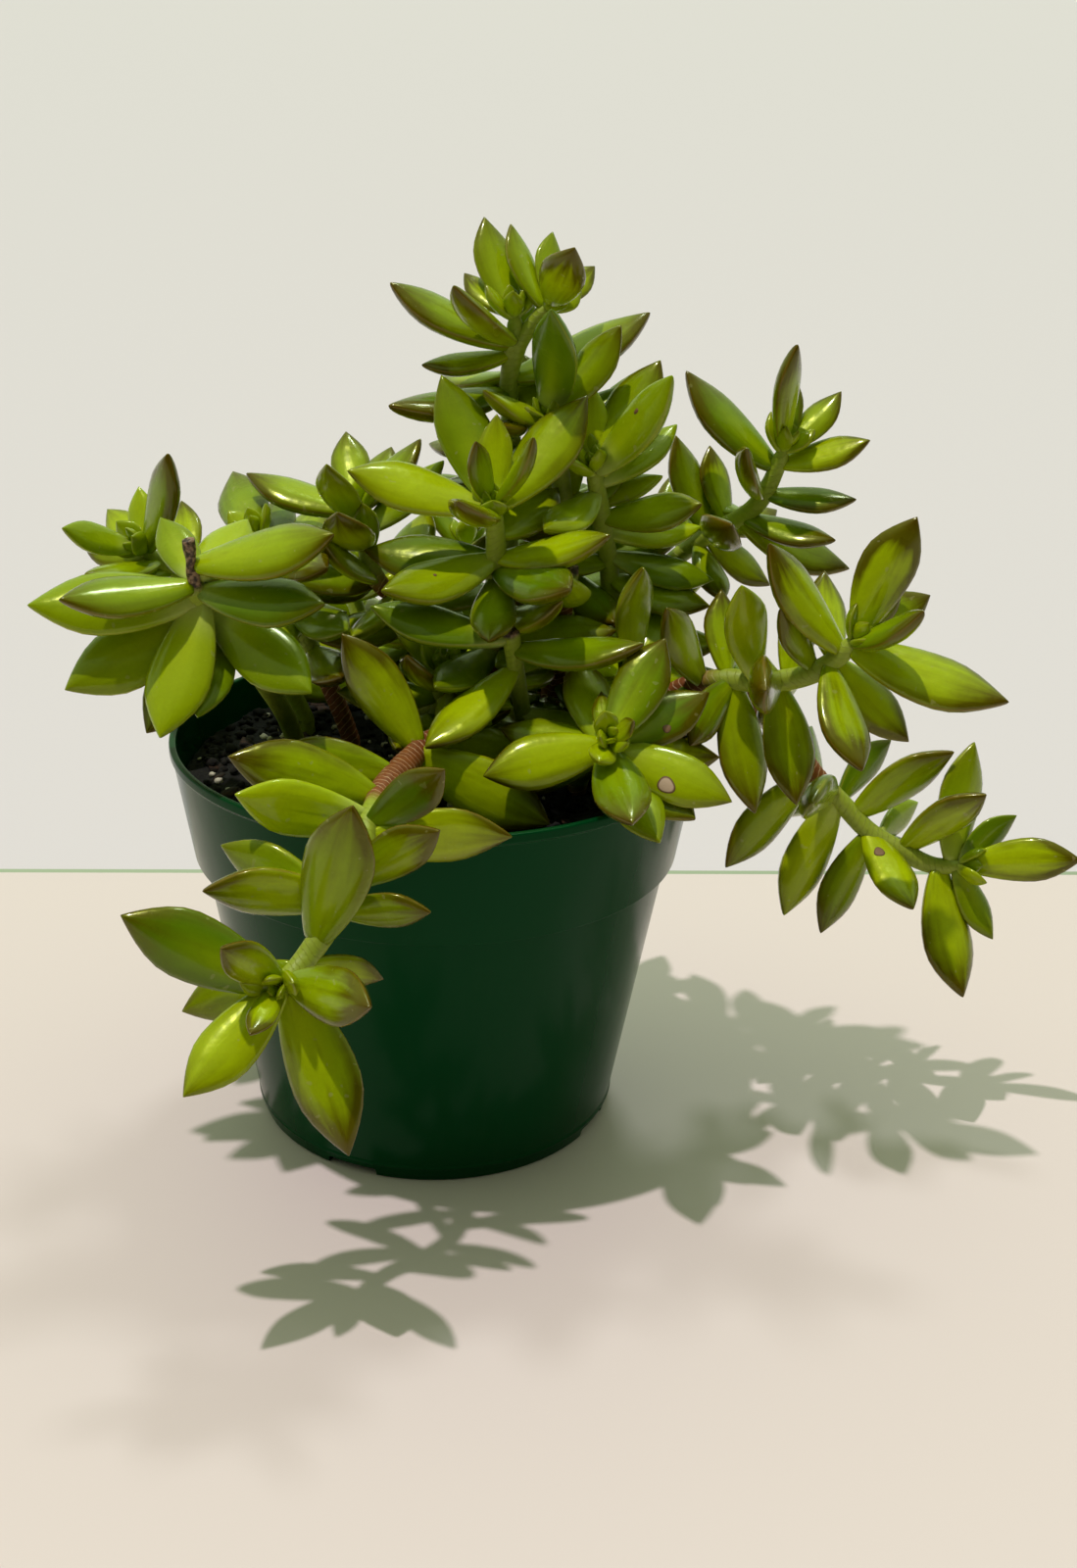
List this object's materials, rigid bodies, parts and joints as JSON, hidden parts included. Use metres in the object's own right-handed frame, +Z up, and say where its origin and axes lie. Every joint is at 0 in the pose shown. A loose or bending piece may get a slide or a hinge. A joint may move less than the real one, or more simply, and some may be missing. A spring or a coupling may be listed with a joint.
{
  "type": "potted sedum",
  "caption": "Bushy golden sedum with thick pointed leaves on upright and trailing stems, growing in a round dark green nursery pot filled with potting mix.",
  "frame": {"origin": "centre of the pot's flat underside, on the surface that the pot stands on", "axes": "+Z up along the pot's axis, +X towards the long shoot that hangs out at the side, -Y towards the shoot that hangs over the front of the rim"},
  "size_m": [0.2446, 0.2104, 0.2147],
  "materials": {
    "pot_plastic": "gloss",
    "potting_mix": "matte",
    "sedum_leaf": "satin"
  },
  "bodies": {
    "root": {"pot": "pot_plastic", "soil": "potting_mix", "front_trailing_stem": "sedum_leaf", "front_rosette_stem": "sedum_leaf", "cut_stem": "sedum_leaf", "centre_rosette_stem": "sedum_leaf", "back_cluster_stem": "sedum_leaf", "right_cluster_stem": "sedum_leaf", "top_stem": "sedum_leaf", "right_back_stem": "sedum_leaf", "right_middle_stem": "sedum_leaf", "right_trailing_stem": "sedum_leaf", "left_cluster_stem": "sedum_leaf", "left_back_stem": "sedum_leaf", "left_middle_stem": "sedum_leaf", "left_upper_stem": "sedum_leaf", "front_low_stem": "sedum_leaf", "right_low_stem": "sedum_leaf", "middle_bare_stem": "sedum_leaf", "back_left_stem": "sedum_leaf", "back_middle_stem": "sedum_leaf", "back_right_stem": "sedum_leaf", "back_trailing_stem": "sedum_leaf"}
  },
  "joints": []
}
